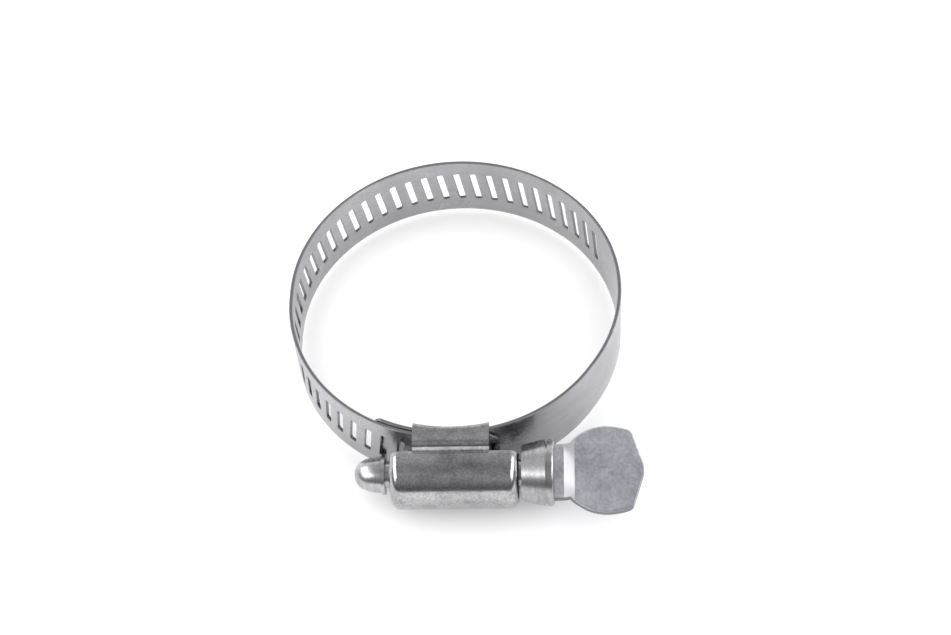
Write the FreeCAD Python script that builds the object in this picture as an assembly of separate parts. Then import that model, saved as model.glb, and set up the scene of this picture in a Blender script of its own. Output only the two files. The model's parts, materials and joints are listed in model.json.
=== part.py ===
"""Worm-drive hose clamp with a thumb key, drawn almost fully open.

Millimetres. The ring closes round the Z axis, the origin is the centre of the ring at
half the band's width, and the screw lies along +X at the front of the ring (-Y).
The band is one flexible strip. It is cut into stretches at the webs between its slots,
and each stretch turns about a vertical line in the middle of the cut.
"""
import FreeCAD, Part
import os
from math import asin, atan2, cos, degrees, radians, sin, sqrt, tan

V = FreeCAD.Vector
X, Y, Z = V(1, 0, 0), V(0, 1, 0), V(0, 0, 1)
ORIGIN = V(0, 0, 0)
OVERRUN = 1.0               # cutters run this far past the metal
NEAR = 1e-6
EDGE_REACH = 0.15           # an edge is known by its place to within this

# ---------------------------------------------------------------- driving dimensions
BAND_WIDTH = 12.7           # a half-inch band
BAND_THICKNESS = 0.6
RING_RADIUS = 27.0          # inside of the ring, the surface that grips the hose
SHEET = 0.6                 # the housing's sheet

SLOT_PITCH = 2.9            # along the middle of the band, and the screw's lead
SLOT_LENGTH = 6.5
SLOT_WIDTH = 1.1
SLOT_LEAN = 8.5             # degrees, the lead angle of the thread
SLOT_CORNER = 0.25
SLOTS_PAST_CENTRE = 2       # slots between the middle of the housing and the free tip
SLOT_COUNT = 43
SLOT_PHASE = 0.06           # the slots stand this far ahead of the thread when drawn open

STRETCH_SLOTS = 4           # slot pitches in one stretch of band
STRETCH_COUNT = 11
FIRST_CUT_PITCHES = 6.5     # from the middle of the housing back to the nearest cut
CUT_GAP = 0.1               # between neighbouring stretches

HOUSING_SHIFT = 1.37        # the band's path through the housing is centred this far forward
STRAP_RADIUS = 25.62        # inside of the strap, about that shifted centre
PLAIN_RADIUS = 26.25        # inside of the band's plain end there
STRAP_HALF_WIDTH = 6.05     # along the screw
STRAP_BEND = 1.45           # the strap's top is flat as far as this behind the screw's axis
STRAP_FOOT = (0.75, 5.53)   # where its slope lands on the barrel: behind the axis, height
STRAP_BEND_ROUND, STRAP_FOOT_ROUND = 1.25, 0.3
STRAP_TOP = 7.1             # half height over the folds
STRAP_FOLD = 0.8            # outer radius of a fold
STRAP_WELL_INSIDE = -23.0   # the section runs this far back before the ring's round is cut away
TONGUE_REACH = 12.2         # how far the plain end shows past the middle of the housing
TONGUE_CHAMFER = 0.8
TIP_REACH = 7.6             # free tip past the middle of the housing
TIP_TAPER_LENGTH = 2.2
TIP_TAPER_DEPTH = 2.4
BUTTON_RADIUS = 0.8         # the plain end is clinched to the strap by two pressed buttons
BUTTON_HEIGHT = 3.4         # of each button above and below the middle of the band
BUTTON_PLAY = 0.05

THREAD_RADIUS = 3.4
THREAD_ROOT = 2.45
THREAD_CREST = 0.4          # width of the crest
THREAD_FLANK = 12.0         # degrees, each side
THREAD_TURNS = 5.5
THREAD_SUNK = 0.2           # the thread's foot starts this far inside the root
THREAD_END_PLAY = 0.1       # between the worm and the barrel's end walls
CREST_SHORT = 0.03          # the crest stops this short of the band's inner face

BARREL_RADIUS = 5.6
BARREL_LEFT, BARREL_RIGHT = -9.8, 10.6
BARREL_CORNER = 1.6
BARREL_LIP = 0.9            # the barrel's free edges stand this far behind the screw's axis
LUG_RADIUS = 3.1            # the end walls reach this far round the screw's necks
NECK_RADIUS = 2.2
NECK_PLAY = 0.06

NOSE_TIP, NOSE_BASE, NOSE_RADIUS = -15.7, -10.7, 2.95
# the nose's taper: distance back from its tip, radius
NOSE_PROFILE = ((0.15, 0.87), (0.44, 1.48), (1.29, 2.24), (2.3, 2.63), (3.5, 2.86))
NOSE_FLANGE_WIDTH, NOSE_FLANGE_RADIUS = 0.55, 3.2
COLLAR_LEFT, COLLAR_GROOVE, COLLAR_RIGHT = 11.05, 14.8, 16.2
COLLAR_SMALL, COLLAR_LARGE = 4.45, 5.35
GROOVE_WIDTH, GROOVE_DEPTH = 0.3, 0.45
COLLAR_ROUND = 0.5

KEY_THICKNESS = 1.5
KEY_TILT = 10.0             # degrees about the screw's axis, as the key is left
SHANK_START, SHANK_HALF = 12.4, 4.5
SHANK_PLAY = 0.03
STEP_START, STEP_END, STEP_RISE = 17.7, 19.4, 0.75
PADDLE_CENTRE, PADDLE_RADIUS = 24.4, 7.3
PADDLE_FLAT_RADIUS = 11.0   # the rim is flatter from the widest place to the shoulder
PADDLE_END, PADDLE_SHOULDER = 30.4, 28.5
PADDLE_POINT_HALF = 0.7
KEY_CORNER_ROUND = 1.2      # the paddle's corners, seen from above
KEY_EDGE_ROUND = 0.35       # round the paddle's rim, both faces

# ---------------------------------------------------------------- worked out from those
HALF_WIDTH = BAND_WIDTH / 2
HALF_THICKNESS = BAND_THICKNESS / 2
RING_MIDDLE = RING_RADIUS + HALF_THICKNESS
PLAIN_MIDDLE = PLAIN_RADIUS + HALF_THICKNESS
HOUSING_CENTRE = V(0, -HOUSING_SHIFT, 0)
SCREW_Y = -(HOUSING_SHIFT + RING_RADIUS + THREAD_RADIUS) - CREST_SHORT
BARREL_INSIDE = BARREL_RADIUS - SHEET
PLAIN_STEP = RING_MIDDLE - PLAIN_MIDDLE


# ---------------------------------------------------------------- the band's path
def arc_piece(centre, radius, start, end):
    """An anticlockwise arc of the band's middle line, with angles in degrees."""
    return {"centre": centre, "radius": radius, "start": start,
            "length": radius * radians(end - start)}


def line_piece(start, heading, length):
    """A straight run of the middle line, with its heading in degrees."""
    return {"from": start, "heading": heading, "length": length}


def on_circle(centre, radius, angle):
    """The point of a circle at an angle in degrees."""
    return centre + V(radius * cos(radians(angle)), radius * sin(radians(angle)), 0)


def band_path():
    """The middle line from the plain end's tongue, round the ring, to the free tip."""
    tongue = 270 - degrees(asin(TONGUE_REACH / PLAIN_MIDDLE))
    leave = 360 - degrees(asin(PLAIN_STEP / HOUSING_SHIFT))
    ease = sqrt(HOUSING_SHIFT ** 2 - PLAIN_STEP ** 2)
    tip = 270 + degrees(asin(TIP_REACH / RING_MIDDLE))
    return [
        arc_piece(HOUSING_CENTRE, PLAIN_MIDDLE, tongue, leave),
        line_piece(on_circle(HOUSING_CENTRE, PLAIN_MIDDLE, leave), leave + 90, ease),
        arc_piece(ORIGIN, RING_MIDDLE, leave - 360, 180),
        line_piece(V(-RING_MIDDLE, 0, 0), 270, HOUSING_SHIFT),
        arc_piece(HOUSING_CENTRE, RING_MIDDLE, 180, tip),
    ]


PATH = band_path()
PATH_LENGTH = sum(piece["length"] for piece in PATH)
# distance along the band to the middle of the housing, on the slotted side
MESH_POINT = PATH_LENGTH - RING_MIDDLE * asin(TIP_REACH / RING_MIDDLE)


def place_on(piece, run):
    """Point and heading in degrees at a distance along one piece of the path."""
    if "centre" in piece:
        angle = piece["start"] + degrees(run / piece["radius"])
        return on_circle(piece["centre"], piece["radius"], angle), angle + 90
    heading = radians(piece["heading"])
    return piece["from"] + V(cos(heading), sin(heading), 0) * run, piece["heading"]


def place_at(distance):
    """Point and heading at a distance along the whole path."""
    for piece in PATH:
        if distance <= piece["length"] or piece is PATH[-1]:
            return place_on(piece, distance)
        distance -= piece["length"]


def set_on_band(shape, distance):
    """Move a shape from its own frame to the band: X along the band, Y inwards, Z up."""
    point, heading = place_at(distance)
    shape.rotate(ORIGIN, Z, heading)
    shape.translate(point)
    return shape


def side_edge(piece, start, end, offset):
    """The band's inner or outer edge along part of one piece, from above."""
    if "centre" in piece:
        circle = Part.Circle(piece["centre"], Z, piece["radius"] + offset)
        first = radians(piece["start"]) + start / piece["radius"]
        last = radians(piece["start"]) + end / piece["radius"]
        return Part.ArcOfCircle(circle, first, last).toShape()
    outwards = radians(piece["heading"] - 90)
    shift = V(cos(outwards), sin(outwards), 0) * offset
    ends = [place_on(piece, run)[0] + shift for run in (start, end)]
    return Part.makeLine(*ends)


def end_edge(distance):
    """The line across the band's thickness at a distance."""
    point, heading = place_at(distance)
    across = V(-sin(radians(heading)), cos(radians(heading)), 0) * HALF_THICKNESS
    return Part.makeLine(point - across, point + across)


def strip(start, end):
    """A plain stretch of band between two distances, full width."""
    edges = [end_edge(start), end_edge(end)]
    reached = 0
    for piece in PATH:
        first = max(start - reached, 0)
        last = min(end - reached, piece["length"])
        if last - first > NEAR:
            edges += [side_edge(piece, first, last, side)
                      for side in (HALF_THICKNESS, -HALF_THICKNESS)]
        reached += piece["length"]
    wire = Part.Wire(Part.__sortEdges__(edges))
    solid = Part.Face(wire).extrude(Z * BAND_WIDTH)
    solid.translate(-Z * HALF_WIDTH)
    return solid


def slot_distances():
    """Where the slots are, from the free tip back to the plain part of the band."""
    first = MESH_POINT + SLOT_PHASE + SLOTS_PAST_CENTRE * SLOT_PITCH
    return [first - number * SLOT_PITCH for number in range(SLOT_COUNT)]


def cut_distances():
    """Where the band is cut into stretches, from the plain end round to the free end."""
    nearest = MESH_POINT + SLOT_PHASE - FIRST_CUT_PITCHES * SLOT_PITCH
    step = STRETCH_SLOTS * SLOT_PITCH
    return [nearest - number * step for number in range(STRETCH_COUNT, -1, -1)]


def slot_cutter(distance):
    """One leaning slot with small round corners."""
    depth = 3 * BAND_THICKNESS
    corner = V(-SLOT_WIDTH / 2, -depth / 2, -SLOT_LENGTH / 2)
    block = Part.makeBox(SLOT_WIDTH, depth, SLOT_LENGTH, corner)
    through = [edge for edge in block.Edges if abs(edge.tangentAt(0).dot(Y)) > 0.99]
    block = block.makeFillet(SLOT_CORNER, through)
    block.rotate(ORIGIN, Y, SLOT_LEAN)
    return set_on_band(block, distance)


def corner_cutter(distance, length, depth, outwards):
    """Two wedges that take the upper and lower corners off an end of the band."""
    wedges = []
    for side in (1, -1):
        beyond = HALF_WIDTH + OVERRUN
        points = [V(outwards, 0, side * beyond), V(-outwards * length, 0, side * beyond),
                  V(-outwards * length, 0, side * HALF_WIDTH), V(0, 0, side * (HALF_WIDTH - depth)),
                  V(outwards, 0, side * (HALF_WIDTH - depth))]
        face = Part.Face(Part.makePolygon(points + points[:1]))
        wedge = face.extrude(Y * 6 * BAND_THICKNESS)
        wedge.translate(-Y * 3 * BAND_THICKNESS)
        wedges.append(set_on_band(wedge, distance))
    return wedges


def band_stretch(start, end):
    """A stretch of band with the slots that fall in it."""
    inside = [distance for distance in slot_distances() if start < distance < end]
    solid = strip(start, end)
    return solid.cut([slot_cutter(distance) for distance in inside]) if inside else solid


def band_plain_end():
    """The fixed end: the tongue, the part clinched in the strap, and the first of the ring."""
    solid = strip(0, cut_distances()[0] - CUT_GAP / 2)
    cutters = corner_cutter(0, TONGUE_CHAMFER, TONGUE_CHAMFER, -1)
    cutters += [button(side, PLAIN_RADIUS - OVERRUN, PLAIN_RADIUS + OVERRUN, BUTTON_RADIUS + BUTTON_PLAY)
                for side in (1, -1)]
    return solid.cut(cutters)


def band_link(number):
    """One turning stretch of the ring."""
    cuts = cut_distances()
    return band_stretch(cuts[number] + CUT_GAP / 2, cuts[number + 1] - CUT_GAP / 2)


def band_free_end():
    """The end that the screw draws through the housing, with its tapered tip."""
    solid = band_stretch(cut_distances()[-1] + CUT_GAP / 2, PATH_LENGTH)
    return solid.cut(corner_cutter(PATH_LENGTH, TIP_TAPER_LENGTH, TIP_TAPER_DEPTH, 1))


# ---------------------------------------------------------------- the housing
def cylinder_along_x(radius, start, end, y=SCREW_Y):
    return Part.makeCylinder(radius, end - start, V(start, y, 0), X)


def round_housing_centre(radius, half_height):
    return Part.makeCylinder(radius, 2 * half_height, HOUSING_CENTRE - Z * half_height, Z)


def button(side, inner, outer, radius):
    """A pressed button between two distances from the housing's centre, above or below."""
    start = HOUSING_CENTRE - Y * outer + Z * side * BUTTON_HEIGHT
    return Part.makeCylinder(radius, outer - inner, start, Y)


def prism_across(points, half_length):
    """A section drawn as (y, z) pairs, run along X to both sides of the middle."""
    corners = [V(-half_length, y, z) for y, z in points]
    return Part.Face(Part.makePolygon(corners + corners[:1])).extrude(X * 2 * half_length)


def strap_section(inset):
    """The strap's outline round the band, or its hollow when inset by the sheet."""
    behind, foot_height = STRAP_FOOT
    slope = atan2(STRAP_TOP - foot_height, STRAP_BEND - behind)
    top = STRAP_TOP - inset
    bend = SCREW_Y + STRAP_BEND + inset * tan(slope / 2)
    foot = SCREW_Y + behind
    low = foot_height - inset / cos(slope)
    upper = [(STRAP_WELL_INSIDE, top), (bend, top), (foot, low)]
    return upper + [(y, -z) for y, z in reversed(upper)]


def barrel_profile(radius, left, right, corner):
    """A closed tube's outline with round ends, turned about the screw's axis."""
    half = corner * (1 - sqrt(0.5))
    top = SCREW_Y + radius
    points = {
        "left": V(left, SCREW_Y, 0), "left_up": V(left, top - corner, 0),
        "left_mid": V(left + half, top - half, 0), "left_top": V(left + corner, top, 0),
        "right_top": V(right - corner, top, 0), "right_mid": V(right - half, top - half, 0),
        "right_up": V(right, top - corner, 0), "right": V(right, SCREW_Y, 0),
    }
    edges = [
        Part.makeLine(points["left"], points["left_up"]),
        Part.Arc(points["left_up"], points["left_mid"], points["left_top"]).toShape(),
        Part.makeLine(points["left_top"], points["right_top"]),
        Part.Arc(points["right_top"], points["right_mid"], points["right_up"]).toShape(),
        Part.makeLine(points["right_up"], points["right"]),
        Part.makeLine(points["right"], points["left"]),
    ]
    return Part.Face(Part.Wire(edges)).revolve(V(0, SCREW_Y, 0), X, 360)


def edges_along_x(shape, y, z):
    """The edges across the strap that lie at a distance behind the origin, above and below."""
    return [edge for edge in shape.Edges if edge.BoundBox.XLength > STRAP_HALF_WIDTH
            and abs(edge.CenterOfMass.y - y) < EDGE_REACH
            and abs(abs(edge.CenterOfMass.z) - z) < EDGE_REACH]


def strap_outside():
    """The strap's block with folded corners and its bend, before it is hollowed."""
    block = prism_across(strap_section(0), STRAP_HALF_WIDTH)
    block = block.cut(round_housing_centre(STRAP_RADIUS, 2 * STRAP_TOP))
    bends = edges_along_x(block, SCREW_Y + STRAP_BEND, STRAP_TOP)
    folds = [edge for edge in block.Edges if edge.BoundBox.XLength > STRAP_HALF_WIDTH
             and abs(abs(edge.CenterOfMass.z) - STRAP_TOP) < NEAR
             and edge.CenterOfMass.y > SCREW_Y + 2 * STRAP_BEND]
    return block.makeFillet(STRAP_BEND_ROUND, bends).makeFillet(STRAP_FOLD, folds)


def housing():
    """One stamped sheet: the barrel over the screw and the strap folded round the band."""
    barrel = barrel_profile(BARREL_RADIUS, BARREL_LEFT, BARREL_RIGHT, BARREL_CORNER)
    length = BARREL_RIGHT - BARREL_LEFT
    open_side = Part.makeBox(length, 2 * BARREL_RADIUS, 4 * BARREL_RADIUS,
                             V(BARREL_LEFT, SCREW_Y + BARREL_LIP, -2 * BARREL_RADIUS))
    lugs = cylinder_along_x(LUG_RADIUS, BARREL_LEFT, BARREL_RIGHT)
    outside = barrel.cut(open_side).fuse([lugs, strap_outside()]).removeSplitter()
    behind, foot_height = STRAP_FOOT
    outside = outside.makeFillet(STRAP_FOOT_ROUND, edges_along_x(outside, SCREW_Y + behind, foot_height))
    strap_hollow = prism_across(strap_section(SHEET), STRAP_HALF_WIDTH + OVERRUN)
    bends = [edge for edge in strap_hollow.Edges if edge.BoundBox.XLength > STRAP_HALF_WIDTH
             and abs(abs(edge.CenterOfMass.z) - STRAP_TOP + SHEET) < NEAR
             and edge.CenterOfMass.y < STRAP_WELL_INSIDE - NEAR]
    strap_hollow = strap_hollow.makeFillet(STRAP_BEND_ROUND - SHEET, bends)
    strap_hollow = strap_hollow.cut(round_housing_centre(STRAP_RADIUS + SHEET, 2 * STRAP_TOP))
    barrel_hollow = barrel_profile(BARREL_INSIDE, BARREL_LEFT + SHEET, BARREL_RIGHT - SHEET,
                                   BARREL_CORNER - SHEET)
    strap_wall = round_housing_centre(STRAP_RADIUS + SHEET, 2 * STRAP_TOP)
    necks = cylinder_along_x(NECK_RADIUS + NECK_PLAY, BARREL_LEFT - OVERRUN, BARREL_RIGHT + OVERRUN)
    solid = outside.cut([strap_hollow, barrel_hollow.cut(strap_wall), necks])
    button_end = PLAIN_RADIUS + BAND_THICKNESS - BUTTON_PLAY
    buttons = [button(side, STRAP_RADIUS + SHEET / 2, button_end, BUTTON_RADIUS) for side in (1, -1)]
    return solid.fuse(buttons).removeSplitter()


# ---------------------------------------------------------------- the screw
def thread():
    """One right-handed worm thread, with its crest facing the band at the middle."""
    height = THREAD_TURNS * SLOT_PITCH
    root = THREAD_ROOT - THREAD_SUNK
    half_crest = THREAD_CREST / 2
    half_root = half_crest + (THREAD_RADIUS - root) * tan(radians(THREAD_FLANK))
    corners = [V(root, 0, -half_root), V(THREAD_RADIUS, 0, -half_crest),
               V(THREAD_RADIUS, 0, half_crest), V(root, 0, half_root)]
    section = Part.makePolygon(corners + corners[:1])
    helix = Part.makeHelix(SLOT_PITCH, height, THREAD_RADIUS)
    worm = Part.Wire(helix).makePipeShell([section], True, True)
    worm.translate(-Z * height / 2)
    worm.rotate(ORIGIN, Z, 90 - 180 * THREAD_TURNS)
    worm.rotate(ORIGIN, Y, 90)
    worm.translate(V(0, SCREW_Y, 0))
    return worm


def screw_body():
    """Nose, necks, root and the flared head, turned about the screw's axis."""
    def at(x, radius):
        return V(x, SCREW_Y + radius, 0)

    flange = NOSE_BASE - NOSE_FLANGE_WIDTH
    root_left = BARREL_LEFT + SHEET + THREAD_END_PLAY
    root_right = BARREL_RIGHT - SHEET - THREAD_END_PLAY
    lip = COLLAR_GROOVE + GROOVE_WIDTH
    half = COLLAR_ROUND * (1 - sqrt(0.5))
    nose = Part.BSplineCurve()
    nose.interpolate([at(NOSE_TIP, 0)] + [at(NOSE_TIP + back, radius) for back, radius in NOSE_PROFILE]
                     + [at(flange, NOSE_RADIUS)])
    edges = [nose.toShape()]
    outline = [at(flange, NOSE_RADIUS),
               at(flange, NOSE_FLANGE_RADIUS), at(NOSE_BASE, NOSE_FLANGE_RADIUS),
               at(NOSE_BASE, NECK_RADIUS), at(root_left, NECK_RADIUS),
               at(root_left, THREAD_ROOT), at(root_right, THREAD_ROOT),
               at(root_right, NECK_RADIUS), at(COLLAR_LEFT, NECK_RADIUS),
               at(COLLAR_LEFT, COLLAR_SMALL), at(COLLAR_GROOVE, COLLAR_LARGE),
               at(COLLAR_GROOVE, COLLAR_LARGE - GROOVE_DEPTH), at(lip, COLLAR_LARGE - GROOVE_DEPTH),
               at(lip, COLLAR_LARGE), at(COLLAR_RIGHT - COLLAR_ROUND, COLLAR_LARGE)]
    edges += [Part.makeLine(first, second) for first, second in zip(outline, outline[1:])]
    edges.append(Part.Arc(outline[-1], at(COLLAR_RIGHT - half, COLLAR_LARGE - half),
                          at(COLLAR_RIGHT, COLLAR_LARGE - COLLAR_ROUND)).toShape())
    edges.append(Part.makeLine(at(COLLAR_RIGHT, COLLAR_LARGE - COLLAR_ROUND), at(COLLAR_RIGHT, 0)))
    edges.append(Part.makeLine(at(COLLAR_RIGHT, 0), at(NOSE_TIP, 0)))
    return Part.Face(Part.Wire(edges)).revolve(V(0, SCREW_Y, 0), X, 360)


def worm_screw():
    """The whole screw with the pocket that grips the key."""
    pocket = Part.makeBox(COLLAR_RIGHT - SHANK_START + OVERRUN, 2 * (SHANK_HALF + SHANK_PLAY),
                          KEY_THICKNESS + 2 * SHANK_PLAY,
                          V(SHANK_START - SHANK_PLAY, -SHANK_HALF - SHANK_PLAY,
                            -KEY_THICKNESS / 2 - SHANK_PLAY))
    return screw_body().fuse(thread()).cut(set_on_screw(pocket))


# ---------------------------------------------------------------- the thumb key
def set_on_screw(shape):
    """Turn a shape to the key's tilt and move it to the screw's axis."""
    shape.rotate(ORIGIN, X, KEY_TILT)
    shape.translate(V(0, SCREW_Y, 0))
    return shape


def key_outline():
    """The key from above: a straight shank and a round paddle with a blunt point."""
    drop = PADDLE_FLAT_RADIUS - PADDLE_RADIUS

    def near_half(x):
        return sqrt(PADDLE_RADIUS ** 2 - (x - PADDLE_CENTRE) ** 2)

    def far_half(x):
        return sqrt(PADDLE_FLAT_RADIUS ** 2 - (x - PADDLE_CENTRE) ** 2) - drop

    join = PADDLE_CENTRE - sqrt(PADDLE_RADIUS ** 2 - SHANK_HALF ** 2)
    near, far = (join + PADDLE_CENTRE) / 2, (PADDLE_CENTRE + PADDLE_SHOULDER) / 2
    edges = [Part.makeLine(V(x, -half, 0), V(x, half, 0))
             for x, half in ((SHANK_START, SHANK_HALF), (PADDLE_END, PADDLE_POINT_HALF))]
    for side in (1, -1):
        corner = V(join, side * SHANK_HALF, 0)
        widest = V(PADDLE_CENTRE, side * PADDLE_RADIUS, 0)
        shoulder = V(PADDLE_SHOULDER, side * far_half(PADDLE_SHOULDER), 0)
        edges += [Part.makeLine(V(SHANK_START, side * SHANK_HALF, 0), corner),
                  Part.Arc(corner, V(near, side * near_half(near), 0), widest).toShape(),
                  Part.Arc(widest, V(far, side * far_half(far), 0), shoulder).toShape(),
                  Part.makeLine(shoulder, V(PADDLE_END, side * PADDLE_POINT_HALF, 0))]
    return Part.Face(Part.Wire(Part.__sortEdges__(edges)))


def key_side():
    """The key's plate from the side, with the step that lifts the paddle."""
    half = KEY_THICKNESS / 2
    lower = [(SHANK_START - OVERRUN, -half), (STEP_START, -half), (STEP_END, STEP_RISE - half),
             (PADDLE_END + OVERRUN, STEP_RISE - half)]
    upper = [(x, z + KEY_THICKNESS) for x, z in reversed(lower)]
    corners = [V(x, -PADDLE_RADIUS - OVERRUN, z) for x, z in lower + upper]
    face = Part.Face(Part.makePolygon(corners + corners[:1]))
    return face.extrude(Y * 2 * (PADDLE_RADIUS + OVERRUN))


def thumb_key():
    """A flat plate pressed into the screw's head."""
    block = key_outline().extrude(Z * 4 * KEY_THICKNESS)
    corners = [edge for edge in block.Edges if edge.BoundBox.ZLength > KEY_THICKNESS
               and edge.CenterOfMass.x > PADDLE_CENTRE + NEAR]
    block = block.makeFillet(KEY_CORNER_ROUND, corners)
    block.translate(-Z * 2 * KEY_THICKNESS)
    key = block.common(key_side())
    rim = [edge for edge in key.Edges
           if edge.BoundBox.ZLength < NEAR and edge.CenterOfMass.x > STEP_END + NEAR]
    return set_on_screw(key.makeFillet(KEY_EDGE_ROUND, rim))


# ---------------------------------------------------------------- write the pieces
def pieces():
    named = {"housing": housing(), "worm_screw": worm_screw(), "thumb_key": thumb_key(),
             "band_plain_end": band_plain_end(), "band_free_end": band_free_end()}
    for number in range(STRETCH_COUNT):
        named[f"band_stretch_{number + 1:02d}"] = band_link(number)
    return named


os.makedirs("parts", exist_ok=True)
for name, shape in pieces().items():
    solid = shape.Solids[0]
    box = solid.BoundBox
    print(f"{name}: {len(shape.Solids)} solid, {solid.Volume:.1f} mm3, valid {solid.isValid()}, "
          f"x {box.XMin:.2f} {box.XMax:.2f}, y {box.YMin:.2f} {box.YMax:.2f}, z {box.ZMin:.2f} {box.ZMax:.2f}")
    solid.exportStep(f"parts/{name}.step")
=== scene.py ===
"""The looks of the worm-drive hose clamp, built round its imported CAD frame.

Shapes are worked out in millimetres, in the CAD's own frame, and turned into metres when
a mesh is made. Angles are in degrees unless a name says otherwise.
"""
import json
from math import asin, cos, degrees, hypot, pi, radians, sin, sqrt

import bpy
from mathutils import Matrix, Vector
from mathutils.geometry import delaunay_2d_cdt

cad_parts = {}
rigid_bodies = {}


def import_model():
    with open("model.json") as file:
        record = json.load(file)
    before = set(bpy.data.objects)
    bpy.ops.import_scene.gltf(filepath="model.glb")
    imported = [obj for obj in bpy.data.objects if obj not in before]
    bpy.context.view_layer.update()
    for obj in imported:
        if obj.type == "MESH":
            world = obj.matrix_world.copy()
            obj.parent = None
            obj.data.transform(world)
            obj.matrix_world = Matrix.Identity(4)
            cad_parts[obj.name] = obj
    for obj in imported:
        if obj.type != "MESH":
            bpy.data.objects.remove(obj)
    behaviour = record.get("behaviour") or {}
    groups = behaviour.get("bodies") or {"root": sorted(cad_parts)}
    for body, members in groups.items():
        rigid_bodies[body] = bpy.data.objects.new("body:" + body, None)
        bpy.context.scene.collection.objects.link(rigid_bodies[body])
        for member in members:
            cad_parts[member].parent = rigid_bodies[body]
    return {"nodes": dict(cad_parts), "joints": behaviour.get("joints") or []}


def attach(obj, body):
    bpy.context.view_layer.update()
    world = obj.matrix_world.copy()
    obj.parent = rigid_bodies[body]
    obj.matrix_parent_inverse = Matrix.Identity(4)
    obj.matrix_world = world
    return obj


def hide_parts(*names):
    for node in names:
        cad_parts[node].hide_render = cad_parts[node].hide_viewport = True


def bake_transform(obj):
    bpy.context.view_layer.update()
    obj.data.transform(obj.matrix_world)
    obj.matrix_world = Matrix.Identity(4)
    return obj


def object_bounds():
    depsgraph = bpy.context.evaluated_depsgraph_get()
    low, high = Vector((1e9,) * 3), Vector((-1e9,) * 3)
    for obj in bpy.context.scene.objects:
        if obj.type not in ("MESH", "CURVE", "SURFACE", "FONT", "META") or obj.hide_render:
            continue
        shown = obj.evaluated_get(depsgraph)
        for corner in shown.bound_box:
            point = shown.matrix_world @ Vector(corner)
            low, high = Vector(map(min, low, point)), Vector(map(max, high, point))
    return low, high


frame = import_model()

CAD_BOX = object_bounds()
MM = 0.001
NODES = frame["nodes"]

# ---------------------------------------------------------------- the clamp's dimensions
HALF_WIDTH = 6.35           # of the band
THICKNESS = 0.6
HALF_THICKNESS = THICKNESS / 2
RING_MIDDLE = 27.3          # radius of the band's middle line
PLAIN_MIDDLE = 26.55        # the same where the plain end lies inside
HOUSING_SHIFT = 1.37        # the band's path through the housing is centred this far forward
PLAIN_STEP = RING_MIDDLE - PLAIN_MIDDLE

SLOT_PITCH = 2.9
SLOT_LENGTH, SLOT_WIDTH, SLOT_CORNER = 6.5, 1.1, 0.25
SLOT_LEAN = 8.5
SLOTS_PAST_CENTRE = 2       # slots between the middle of the housing and the free tip
SLOT_COUNT = 43
SLOT_PHASE = 0.06           # the slots stand this far ahead of the thread when drawn open
STRETCH_SLOTS = 4           # slot pitches in one stretch of band
STRETCH_COUNT = 11
FIRST_CUT_PITCHES = 6.5     # from the middle of the housing back to the nearest cut

# How far the plain end and the free tip reach past the middle of the housing.
TONGUE_REACH, TONGUE_CHAMFER = 12.2, 0.8
TIP_REACH, TIP_TAPER_LENGTH, TIP_TAPER_DEPTH = 7.6, 2.2, 2.4

EDGE = 0.11                 # bevel of the band's sheared edges
STEPS_PER_PITCH = 5         # mesh columns along one slot pitch
ROWS = 12                   # mesh rows across the band
CORNER_STEPS = 4            # mesh steps round one corner of a slot
GRID_CLEARANCE = 0.12       # how near to an outline a grid point may lie
UPRIGHT = 1e-6              # a side that runs along the band by less than this is upright
MERGE_DISTANCE = 1e-7       # nearer points than this are one in the triangulation
SEAM_MARGIN = 0.2           # a bend ends this far inside its run
UV_PER_METRE = 10

# Painted shade on sheared metal: how dark, from 0, as pale as the sheet, to 1.
RIM_SHADE = 0.5
SLOT_SIDE_SHADE, SLOT_END_SHADE = 0.6, 1.0

SCREW = frame["joints"][0]


# ---------------------------------------------------------------- the band's path
def band_path():
    """The middle line from the plain end's tongue, round the ring, to the free tip."""
    tongue = 270 - degrees(asin(TONGUE_REACH / PLAIN_MIDDLE))
    leave = 360 - degrees(asin(PLAIN_STEP / HOUSING_SHIFT))
    ease = sqrt(HOUSING_SHIFT ** 2 - PLAIN_STEP ** 2)
    tip = 270 + degrees(asin(TIP_REACH / RING_MIDDLE))
    housing = Vector((0, -HOUSING_SHIFT))
    start = housing + PLAIN_MIDDLE * Vector((cos(radians(leave)), sin(radians(leave))))
    return [
        {"centre": housing, "radius": PLAIN_MIDDLE, "from": tongue, "to": leave},
        {"start": start, "heading": leave + 90, "length": ease},
        {"centre": Vector((0, 0)), "radius": RING_MIDDLE, "from": leave - 360, "to": 180},
        {"start": Vector((-RING_MIDDLE, 0)), "heading": 270, "length": HOUSING_SHIFT},
        {"centre": housing, "radius": RING_MIDDLE, "from": 180, "to": tip},
    ]


PATH = band_path()
for part in PATH:
    if "centre" in part:
        part["length"] = part["radius"] * radians(part["to"] - part["from"])
PATH_LENGTH = sum(part["length"] for part in PATH)
# distance along the band to the middle of the housing, on the slotted side
MESH_POINT = PATH_LENGTH - RING_MIDDLE * asin(TIP_REACH / RING_MIDDLE)


def place(distance):
    """Point and heading at a distance along the band's middle line."""
    for part in PATH:
        if distance <= part["length"] or part is PATH[-1]:
            break
        distance -= part["length"]
    if "centre" in part:
        angle = part["from"] + degrees(distance / part["radius"])
        spoke = Vector((cos(radians(angle)), sin(radians(angle))))
        return part["centre"] + part["radius"] * spoke, angle + 90
    heading = radians(part["heading"])
    return part["start"] + distance * Vector((cos(heading), sin(heading))), part["heading"]


def on_band(along, up, out):
    """A point of the band: distance along it, height, and distance outwards of its middle."""
    point, heading = place(along)
    side = radians(heading - 90)
    return Vector((point.x + out * cos(side), point.y + out * sin(side), up))


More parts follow.
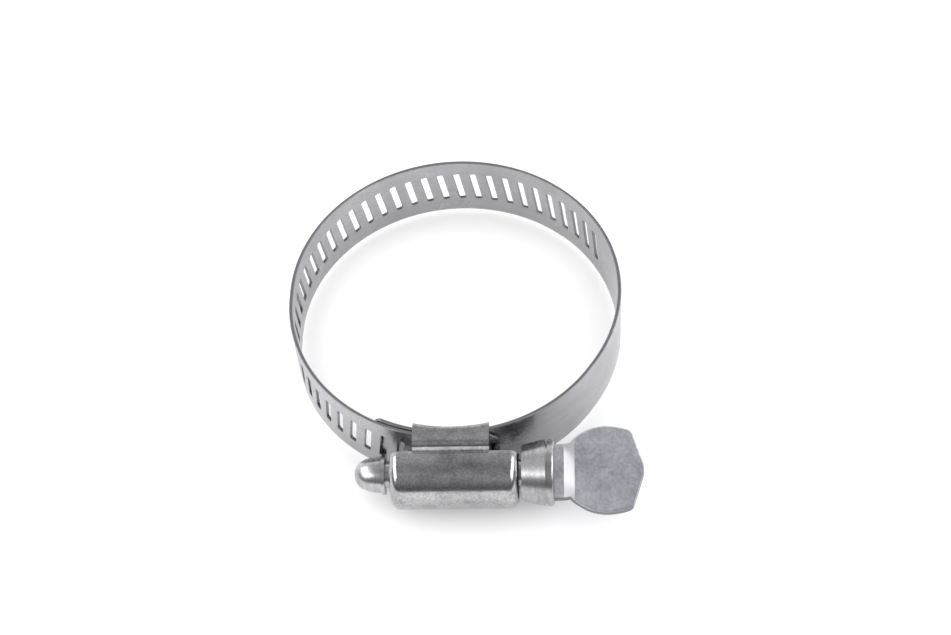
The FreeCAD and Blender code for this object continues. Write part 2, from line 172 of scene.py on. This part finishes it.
def band_direction(along, forwards, up, out):
    """A direction given along the band, upwards and outwards, in the clamp's frame."""
    heading = radians(place(along)[1])
    side = heading - pi / 2
    return Vector((forwards * cos(heading) + out * cos(side),
                   forwards * sin(heading) + out * sin(side), up)).normalized()


def slot_distances():
    """Where the slots' centres are, from the free end backwards."""
    first = MESH_POINT + SLOT_PHASE + SLOTS_PAST_CENTRE * SLOT_PITCH
    return [first - number * SLOT_PITCH for number in range(SLOT_COUNT)]


def hinge_distances():
    """Where the band bends, from the plain end round to the free end."""
    nearest = MESH_POINT + SLOT_PHASE - FIRST_CUT_PITCHES * SLOT_PITCH
    step = STRETCH_SLOTS * SLOT_PITCH
    return [nearest - number * step for number in range(STRETCH_COUNT, -1, -1)]


# ---------------------------------------------------------------- mesh helpers
def new_object(name, data):
    """Put a mesh, light or camera into the scene as an object."""
    obj = bpy.data.objects.new(name, data)
    bpy.context.scene.collection.objects.link(obj)
    return obj


def inside(point, loop):
    """True if a flat point lies inside a closed loop."""
    x, y = point
    hit = False
    for (ax, ay), (bx, by) in zip(loop, loop[1:] + loop[:1]):
        if (ay > y) != (by > y) and x < (bx - ax) * (y - ay) / (by - ay) + ax:
            hit = not hit
    return hit


def inset_polygon(corners, insets):
    """Move each side of an anticlockwise polygon inwards by its own amount."""
    lines = []
    for a, b, inset in zip(corners, corners[1:] + corners[:1], insets):
        length = hypot(b[0] - a[0], b[1] - a[1])
        normal = (-(b[1] - a[1]) / length, (b[0] - a[0]) / length)
        lines.append((normal, normal[0] * a[0] + normal[1] * a[1] + inset))
    moved = []
    for (n, c), (m, d) in zip(lines[-1:] + lines[:-1], lines):
        det = n[0] * m[1] - n[1] * m[0]
        moved.append(((c * m[1] - d * n[1]) / det, (n[0] * d - m[0] * c) / det))
    return moved


def slot_loop(centre, grow):
    """A leaning slot's outline in (along, up), anticlockwise, grown by an amount."""
    half_w, half_l = SLOT_WIDTH / 2 - SLOT_CORNER, SLOT_LENGTH / 2 - SLOT_CORNER
    corner = SLOT_CORNER + grow
    lean = radians(SLOT_LEAN)
    points = []
    for turn, (sx, sz) in enumerate(((1, 1), (-1, 1), (-1, -1), (1, -1))):
        for step in range(CORNER_STEPS + 1):
            angle = (turn + step / CORNER_STEPS) * pi / 2
            x, z = sx * half_w + corner * cos(angle), sz * half_l + corner * sin(angle)
            points.append((centre + x * cos(lean) + z * sin(lean), z * cos(lean) - x * sin(lean)))
    return points


def divide(corners, counts):
    """Points along a polygon's sides, each side cut into its own number of steps."""
    points, sides = [], []
    for number, (a, b, count) in enumerate(zip(corners, corners[1:] + corners[:1], counts)):
        for step in range(count):
            share = step / count
            points.append((a[0] + (b[0] - a[0]) * share, a[1] + (b[1] - a[1]) * share))
            sides.append(number)
    return points, sides


# ---------------------------------------------------------------- the band
def face_triangles(outline, holes, start, end):
    """Triangulate the flat face between an outline and its holes, with a grid inside."""
    points = [Vector(p) for p in outline]
    edges = [(i, (i + 1) % len(outline)) for i in range(len(outline))]
    for hole in holes:
        first = len(points)
        points += [Vector(p) for p in hole]
        edges += [(first + i, first + (i + 1) % len(hole)) for i in range(len(hole))]
    fixed = len(points)
    columns = max(2, round((end - start) / SLOT_PITCH * STEPS_PER_PITCH))
    for column in range(1, columns):
        along = start + (end - start) * column / columns
        for row in range(1, ROWS):
            spot = (along, -HALF_WIDTH + 2 * HALF_WIDTH * row / ROWS)
            clear = inside(spot, outline) and not any(inside(spot, hole) for hole in holes)
            near = any((Vector(spot) - p).length < GRID_CLEARANCE for p in points[:fixed])
            if clear and not near:
                points.append(Vector(spot))
    flat, _, faces, *_ = delaunay_2d_cdt(points, edges, [], 0, MERGE_DISTANCE)
    if len(flat) != len(points):
        raise RuntimeError("the face's outline crosses itself")
    kept = []
    for face in faces:
        middle = sum((flat[i] for i in face), Vector((0, 0))) / len(face)
        if inside(middle, outline) and not any(inside(middle, hole) for hole in holes):
            a, b, c = (flat[i] for i in face)
            kept.append(tuple(face) if (b - a).cross(c - a) > 0 else tuple(reversed(face)))
    return [tuple(p) for p in flat], kept


def side_normal(corners, open_sides, sides):
    """The outward direction at a rim point, shared by the sides that meet there."""
    forwards, up = 0, 0
    for side in sides - set(open_sides):
        (ax, az), (bx, bz) = corners[side], corners[(side + 1) % len(corners)]
        length = hypot(bx - ax, bz - az)
        forwards += (bz - az) / length
        up += (ax - bx) / length
    return forwards, up, 0


def run_outline(corners, open_sides):
    """A run's outline, the edge of its flat face inside the bevel, and the side of each point."""
    insets = [0 if side in open_sides else EDGE for side in range(len(corners))]
    step = SLOT_PITCH / STEPS_PER_PITCH
    counts = []
    for a, b in zip(corners, corners[1:] + corners[:1]):
        run = abs(b[0] - a[0])
        counts.append(max(1, round(run / step)) if run > UPRIGHT else ROWS)
    rim, sides = divide(corners, counts)
    face_rim, _ = divide(inset_polygon(corners, insets), counts)
    return rim, face_rim, sides


def band_piece(name, start, end, corners, open_sides):
    """A run of band with bevelled edges and its slots; seams with the next run stay open."""
    slots = [d for d in slot_distances() if start < d < end]
    rim, face_rim, sides = run_outline(corners, open_sides)
    holes = [slot_loop(slot, EDGE) for slot in slots]
    flat, triangles = face_triangles(face_rim, holes, start, end)
    verts, normals, faces, layout, painted_edge_shade = [], [], [], [], []

    def add(along, up, out, normal, edge_shade=0.0):
        verts.append(on_band(along, up, out) * MM)
        normals.append(band_direction(along, *normal))
        layout.append((along, up))
        painted_edge_shade.append(edge_shade)
        return len(verts) - 1

    outer = [add(x, z, HALF_THICKNESS, (0, 0, 1)) for x, z in flat]
    inner = [add(x, z, -HALF_THICKNESS, (0, 0, -1)) for x, z in flat]
    faces += [tuple(outer[i] for i in tri) for tri in triangles]
    faces += [tuple(inner[i] for i in reversed(tri)) for tri in triangles]
    reached = 0
    for number, wall in enumerate([rim] + [slot_loop(slot, 0) for slot in slots]):
        size = len(wall)
        ring_out, ring_in = [], []
        for i in range(size):
            # The rim and the slots' walls get painted shade, darkest on the slots' ends.
            if number == 0:
                normal = side_normal(corners, open_sides, {sides[i], sides[i - 1]})
                edge_shade = RIM_SHADE
            else:
                (px, pz), (qx, qz) = wall[i - 1], wall[(i + 1) % size]
                normal = (pz - qz, qx - px, 0)
                steep = abs(normal[1]) / hypot(*normal[:2])
                edge_shade = SLOT_SIDE_SHADE + (SLOT_END_SHADE - SLOT_SIDE_SHADE) * steep
            ring_out.append(add(*wall[i], HALF_THICKNESS - EDGE, normal, edge_shade))
            ring_in.append(add(*wall[i], EDGE - HALF_THICKNESS, normal, edge_shade))
        for i in range(size):
            j = (i + 1) % size
            if number == 0 and sides[i] in open_sides:
                continue
            fo, fo2 = outer[reached + i], outer[reached + j]
            fi, fi2 = inner[reached + i], inner[reached + j]
            quads = [(fo2, fo, ring_out[i], ring_out[j]),
                     (ring_out[j], ring_out[i], ring_in[i], ring_in[j]),
                     (ring_in[j], ring_in[i], fi, fi2)]
            faces += quads if number == 0 else [tuple(reversed(quad)) for quad in quads]
        reached += size
    mesh = bpy.data.meshes.new(name)
    mesh.from_pydata(verts, [], faces)
    mesh.normals_split_custom_set_from_vertices(normals)
    layer = mesh.uv_layers.new(name="strip")
    for loop in mesh.loops:
        along, up = layout[loop.vertex_index]
        layer.data[loop.index].uv = (along * MM * UV_PER_METRE, up * MM * UV_PER_METRE)
    # each point's share of painted shade on the sheared edges
    mesh.attributes.new("painted_edge_shade", "FLOAT", "POINT").data.foreach_set("value", painted_edge_shade)
    mesh.update()
    return new_object(name, mesh)


def make_band():
    """The whole strip: a fixed end, twelve runs and a free end."""
    joints = [j for j in frame["joints"] if j["name"] != SCREW["name"]]
    hinges = hinge_distances()
    half = STRETCH_SLOTS * SLOT_PITCH / 2
    seams = [hinges[0] - half] + [hinge + half for hinge in hinges]
    pieces = []
    tongue = [(0, -HALF_WIDTH + TONGUE_CHAMFER), (TONGUE_CHAMFER, -HALF_WIDTH),
              (seams[0], -HALF_WIDTH), (seams[0], HALF_WIDTH),
              (TONGUE_CHAMFER, HALF_WIDTH), (0, HALF_WIDTH - TONGUE_CHAMFER)]
    plain = band_piece("band_tongue_run", 0, seams[0], tongue, open_sides=(2,))
    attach(plain, joints[0]["parent"])
    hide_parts("band_plain_end")
    pieces.append(plain)
    for number, joint in enumerate(joints):
        near, far = seams[number], seams[number + 1]
        corners = [(near, -HALF_WIDTH), (far, -HALF_WIDTH), (far, HALF_WIDTH), (near, HALF_WIDTH)]
        run = band_piece(f"band_run_{number + 1:02d}", near, far, corners, open_sides=(1, 3))
        ends = [on_band(along, 0, 0) * MM for along in (near + SEAM_MARGIN, far - SEAM_MARGIN)]
        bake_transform(run)
        if number < STRETCH_COUNT:
            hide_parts(f"band_stretch_{number + 1:02d}")
        pieces.append(run)
    last, tip = seams[-1], PATH_LENGTH
    narrow = HALF_WIDTH - TIP_TAPER_DEPTH
    corners = [(last, -HALF_WIDTH), (tip - TIP_TAPER_LENGTH, -HALF_WIDTH), (tip, -narrow),
               (tip, narrow), (tip - TIP_TAPER_LENGTH, HALF_WIDTH), (last, HALF_WIDTH)]
    free = band_piece("band_tip_run", last, tip, corners, open_sides=(5,))
    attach(free, joints[-1]["child"])
    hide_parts("band_free_end")
    pieces.append(free)
    return pieces


# ---------------------------------------------------------------- materials
def node(tree, kind, links=None, **values):
    """Add a shader node, set its fields or inputs, and link its inputs by name."""
    made = tree.nodes.new(kind)
    for key, value in values.items():
        if key in made.inputs.keys():
            made.inputs[key].default_value = value
        else:
            setattr(made, key, value)
    for key, output in (links or {}).items():
        tree.links.new(output, made.inputs[key])
    return made


def shade(tree, low, high, value):
    """Map a value from a low..high range to 0..1."""
    made = node(tree, "ShaderNodeMapRange", {"Value": value})
    made.inputs["From Min"].default_value, made.inputs["From Max"].default_value = low, high
    return made.outputs["Result"]


def sum_of(tree, *terms):
    """Add up (output, weight) pairs."""
    total = None
    for output, weight in terms:
        scaled = node(tree, "ShaderNodeMath", {0: output}, operation="MULTIPLY_ADD")
        scaled.inputs[1].default_value = weight
        if total is None:
            scaled.inputs[2].default_value = 0
        else:
            tree.links.new(total, scaled.inputs[2])
        total = scaled.outputs[0]
    return total


def blended(tree, colour, other, share):
    """Turn a colour into another, fixed one where the share is 1."""
    mix = node(tree, "ShaderNodeMix", data_type="RGBA")
    tree.links.new(share, mix.inputs["Factor"])
    first, second = (socket for socket in mix.inputs if socket.type == "RGBA")
    tree.links.new(colour, first)
    second.default_value = (*other, 1)
    return next(socket for socket in mix.outputs if socket.type == "RGBA")


NOISE_RANGE = (0.3, 0.7)            # where most values of a noise lie
SCRATCHED = (0.5, 0.62)             # the clouds' values where scratches begin, and are whole
SCRATCH_WIDTH = 0.035               # in cells
SCRATCH_SCALE = 0.35                # of the streaks' scale
SCRATCH_STRETCH = (0.12, 1.0, 1.0)
SCRATCH_TURN = (0.3, 0.5, 0.9)      # radians
RAMP_ENDS = (0.1, 0.9)
EDGE_SHADE_LEAN = (0.6, 0.25)          # a normal's Z where painted shade on a cut side begins, and is whole
STEP_HIGHLIGHT_LEAN = (-0.1, -0.3)       # a normal's X where the painted highlight on the key's step begins, and is whole
STREAK_RELIEF, SPECK_RELIEF = 0.6, 0.4
RELIEF_DEPTH = 0.04 * MM


def steel(name, dark, pale, rough, fine, soft, speck, weights, bump, scratch, uv=None,
          grain=(1, 1, 1), edge_shade=None, step_highlight=None):
    """Stainless steel: streaks along one way, soft clouds, specks and fine scratches.

    It lies on a UV map, or on the object's own coordinates. rough is its roughness where it is
    palest and darkest. fine, soft and speck are the scales of the streaks, clouds and specks,
    weights are their shares in the colour, and grain is the streaks' scale along each axis.
    The colour given for sheared edges is painted shade on them, and the one given for the key's step is a
    painted highlight on it.
    """
    material = bpy.data.materials.new(name)
    material.use_nodes = True
    tree = material.node_tree
    shader = tree.nodes["Principled BSDF"]
    shader.inputs["Metallic"].default_value = 1
    if uv:
        spot = node(tree, "ShaderNodeUVMap", uv_map=uv).outputs["UV"]
    else:
        spot = node(tree, "ShaderNodeTexCoord").outputs["Object"]
    along = node(tree, "ShaderNodeMapping", {"Vector": spot}, Scale=grain).outputs["Vector"]
    streaks = node(tree, "ShaderNodeTexNoise", {"Vector": along}, Scale=fine, Detail=6, Roughness=0.65)
    clouds = node(tree, "ShaderNodeTexNoise", {"Vector": spot}, Scale=soft, Detail=5, Roughness=0.62)
    specks = node(tree, "ShaderNodeTexNoise", {"Vector": spot}, Scale=speck, Detail=2, Roughness=0.5)
    scratches = scratch_lines(tree, spot, fine * SCRATCH_SCALE, clouds.outputs["Fac"])
    shares = [(shade(tree, *NOISE_RANGE, noise.outputs["Fac"]), weight)
              for noise, weight in zip((streaks, clouds, specks), weights)]
    value = sum_of(tree, *shares, (scratches, scratch))
    ramp = node(tree, "ShaderNodeValToRGB", {"Fac": value})
    for stop, position, shade_of_steel in zip(ramp.color_ramp.elements, RAMP_ENDS, (dark, pale)):
        stop.position = position
        stop.color = (*shade_of_steel, 1)
    colour = ramp.outputs["Color"]
    # A painted highlight on the key's step, where the surface leans back towards the head.
    if step_highlight:
        lean = leaning(tree, "X")
        colour = blended(tree, colour, step_highlight, shade(tree, *STEP_HIGHLIGHT_LEAN, lean))
    # Painted shade on sheared edges: the band reads it from its mesh, the key from how upright a side is.
    if edge_shade and uv:
        edge = node(tree, "ShaderNodeAttribute", attribute_name="painted_edge_shade").outputs["Fac"]
        colour = blended(tree, colour, edge_shade, edge)
    elif edge_shade:
        flatness = node(tree, "ShaderNodeMath", {0: leaning(tree, "Z")}, operation="ABSOLUTE")
        colour = blended(tree, colour, edge_shade, shade(tree, *EDGE_SHADE_LEAN, flatness.outputs[0]))
    tree.links.new(colour, shader.inputs["Base Color"])
    dull = node(tree, "ShaderNodeMapRange", {"Value": value})
    dull.inputs["To Min"].default_value, dull.inputs["To Max"].default_value = rough[1], rough[0]
    tree.links.new(dull.outputs["Result"], shader.inputs["Roughness"])
    relief = sum_of(tree, (streaks.outputs["Fac"], STREAK_RELIEF),
                    (specks.outputs["Fac"], SPECK_RELIEF), (scratches, -scratch))
    lift = node(tree, "ShaderNodeBump", {"Height": relief}, Strength=bump, Distance=RELIEF_DEPTH)
    tree.links.new(lift.outputs["Normal"], shader.inputs["Normal"])
    return material


def scratch_lines(tree, spot, scale, clouds):
    """Long thin scratches, 1 on a line, where the clouds are thick."""
    crossed = node(tree, "ShaderNodeMapping", {"Vector": spot}, Scale=SCRATCH_STRETCH,
                   Rotation=SCRATCH_TURN).outputs["Vector"]
    cells = node(tree, "ShaderNodeTexVoronoi", {"Vector": crossed}, feature="DISTANCE_TO_EDGE",
                 Scale=scale)
    lines = shade(tree, SCRATCH_WIDTH, 0.0, cells.outputs["Distance"])
    mask = shade(tree, *SCRATCHED, clouds)
    return node(tree, "ShaderNodeMath", {0: lines, 1: mask}, operation="MULTIPLY").outputs[0]


def leaning(tree, axis):
    """How far the piece's own surface leans along an axis."""
    facing = node(tree, "ShaderNodeTexCoord").outputs["Normal"]
    return node(tree, "ShaderNodeSeparateXYZ", {"Vector": facing}).outputs[axis]


# The band's last colour is painted shade on its sheared edges and slot walls.
BAND_STEEL = steel(
    "band_steel", (0.325, 0.323, 0.338), (0.46, 0.458, 0.475), (0.22, 0.36), uv="strip",
    grain=(0.05, 1, 1), fine=150, soft=7, speck=260, weights=(0.25, 0.6, 0.15), bump=0.08,
    scratch=0.25, edge_shade=(0.13, 0.13, 0.14))
HOUSING_STEEL = steel(
    "housing_steel", (0.19, 0.187, 0.192), (0.55, 0.545, 0.555), (0.13, 0.26),
    grain=(0.6, 1, 1), fine=800, soft=260, speck=2700, weights=(0.3, 0.35, 0.35), bump=0.4,
    scratch=0.12)
SCREW_STEEL = steel(
    "screw_steel", (0.26, 0.257, 0.27), (0.54, 0.536, 0.555), (0.2, 0.34),
    grain=(3, 0.5, 0.5), fine=500, soft=200, speck=2600, weights=(0.4, 0.4, 0.2), bump=0.12,
    scratch=0.1)
# The key's last two colours are painted shade on its cut sides and a painted highlight on its step.
KEY_STEEL = steel(
    "key_steel", (0.42, 0.42, 0.463), (0.92, 0.92, 0.985), (0.3, 0.42),
    fine=420, soft=230, speck=1900, weights=(0.25, 0.45, 0.3), bump=0.35, scratch=0.1,
    edge_shade=(0.16, 0.16, 0.17), step_highlight=(0.98, 0.98, 0.99))


def wear(obj, material):
    """Give an object one material."""
    obj.data.materials.clear()
    obj.data.materials.append(material)


for piece in make_band():
    wear(piece, BAND_STEEL)
wear(NODES["housing"], HOUSING_STEEL)
wear(NODES["worm_screw"], SCREW_STEEL)
wear(NODES["thumb_key"], KEY_STEEL)


# ---------------------------------------------------------------- floor, light and camera
FLOOR_Z = CAD_BOX[0][2]
FLOOR_HALF = 3.0            # metres
FLOOR_WHITE = (0.95, 0.95, 0.95, 1)
FLOOR_ROUGHNESS = 0.9


def make_floor():
    """A wide white floor under the clamp."""
    mesh = bpy.data.meshes.new("floor")
    corners = [(x * FLOOR_HALF, y * FLOOR_HALF, FLOOR_Z) for x, y in ((-1, -1), (1, -1), (1, 1), (-1, 1))]
    mesh.from_pydata(corners, [], [(0, 1, 2, 3)])
    floor = new_object("floor", mesh)
    material = bpy.data.materials.new("floor_white")
    material.use_nodes = True
    shader = material.node_tree.nodes["Principled BSDF"]
    shader.inputs["Base Color"].default_value = FLOOR_WHITE
    shader.inputs["Roughness"].default_value = FLOOR_ROUGHNESS
    mesh.materials.append(material)


# The brightness that the metal mirrors, by degrees from straight up towards the front.
ROOM = ((-90, 1.3), (-54, 1.2), (-42, 0.7), (-34, 0.54), (-20, 0.6), (-8, 0.49), (6, 0.38),
        (16, 0.36), (27, 0.43), (45, 0.48), (56, 0.42), (68, 0.28), (80, 0.16), (90, 0.12))
ROOM_BLUENESS = 1.02
EVEN_ROOM = 1.55            # strength of the white room that the camera and diffuse light see
# Each has its name, its place and size in metres, and its power in watts.
SOFTBOXES = (("left_softbox", (-0.40, -0.06, 0.36), (0.74, 0.26), 2.5),
             ("right_softbox", (0.42, -0.08, 0.34), (0.68, 0.26), 2.3))


def make_room():
    """A pale room to be mirrored, brighter behind and dim low in front.

    The camera and diffuse light see an even white room instead.
    """
    world = bpy.data.worlds.new("studio")
    bpy.context.scene.world = world
    world.use_nodes = True
    # Sampled as a light, the room couldn't tell a diffuse ray from a mirrored one.
    world.cycles.sampling_method = "NONE"
    tree = world.node_tree
    room = tree.nodes["Background"]
    way = node(tree, "ShaderNodeTexCoord").outputs["Generated"]
    axes = node(tree, "ShaderNodeSeparateXYZ", {"Vector": way})
    front = node(tree, "ShaderNodeMath", {0: axes.outputs["Y"]}, operation="MULTIPLY")
    front.inputs[1].default_value = -1
    angle = node(tree, "ShaderNodeMath", {0: front.outputs[0], 1: axes.outputs["Z"]},
                 operation="ARCTAN2")
    ramp = node(tree, "ShaderNodeValToRGB", {"Fac": shade(tree, -pi / 2, pi / 2, angle.outputs[0])})
    stops = ramp.color_ramp.elements
    while len(stops) < len(ROOM):
        stops.new(0.5)
    for stop, (forward, _) in zip(stops, ROOM):
        stop.position = (forward + 90) / 180
    for stop, (_, level) in zip(stops, ROOM):
        stop.color = (level, level, level * ROOM_BLUENESS, 1)
    tree.links.new(ramp.outputs["Color"], room.inputs["Color"])
    room.inputs["Strength"].default_value = 1
    white = node(tree, "ShaderNodeBackground", Strength=EVEN_ROOM)
    white.inputs["Color"].default_value = (1, 1, 1, 1)
    ray = node(tree, "ShaderNodeLightPath").outputs
    plain = node(tree, "ShaderNodeMath", {0: ray["Is Camera Ray"], 1: ray["Is Diffuse Ray"]},
                 operation="MAXIMUM")
    both = node(tree, "ShaderNodeMixShader", {0: plain.outputs[0], 1: room.outputs[0],
                                              2: white.outputs[0]})
    tree.links.new(both.outputs[0], tree.nodes["World Output"].inputs["Surface"])


def make_softboxes():
    """A long softbox on each side, left out of the key and of all diffuse light."""
    kept_dark = bpy.data.collections.new("kept_from_softboxes")
    kept_dark.objects.link(NODES["thumb_key"])
    kept_dark.collection_objects[0].light_linking.link_state = "EXCLUDE"
    for name, where, size, power in SOFTBOXES:
        data = bpy.data.lights.new(name, "AREA")
        data.shape = "RECTANGLE"
        data.size, data.size_y = size
        data.energy = power
        lamp = new_object(name, data)
        lamp.location = where
        lamp.rotation_euler = (-Vector(where)).to_track_quat("-Z", "Y").to_euler()
        lamp.visible_diffuse = False
        lamp.light_linking.receiver_collection = kept_dark


CAMERA_DISTANCE = 319.4     # from the ring's centre
CAMERA_ELEVATION, CAMERA_AZIMUTH = 54.48, 6.26
CAMERA_PAN, CAMERA_TILT, CAMERA_ROLL = 0.53, 0.26, 6.1
LENS, SENSOR = 71.55, 36
CLIP_START = 0.01           # metres


def make_camera():
    """The studio camera, in front of the clamp and well above it, rolled a little."""
    elevation, azimuth = radians(CAMERA_ELEVATION), radians(CAMERA_AZIMUTH)
    out = Vector((sin(azimuth) * cos(elevation), -cos(azimuth) * cos(elevation), sin(elevation)))
    where = CAMERA_DISTANCE * MM * out
    ahead = -where.normalized()
    right = ahead.cross(Vector((0, 0, 1))).normalized()
    up = right.cross(ahead)
    to_camera = (Matrix.Rotation(radians(CAMERA_ROLL), 3, "Z")
                 @ Matrix.Rotation(radians(CAMERA_TILT), 3, "X")
                 @ Matrix.Rotation(radians(CAMERA_PAN), 3, "Y")
                 @ Matrix((right, up, -ahead)))
    data = bpy.data.cameras.new("camera")
    data.sensor_width = SENSOR
    data.lens = LENS
    data.clip_start = CLIP_START
    camera = new_object("camera", data)
    camera.matrix_world = Matrix.Translation(where) @ to_camera.transposed().to_4x4()
    bpy.context.scene.camera = camera


make_floor()
make_room()
make_softboxes()
make_camera()
bpy.context.scene.view_settings.view_transform = "Standard"
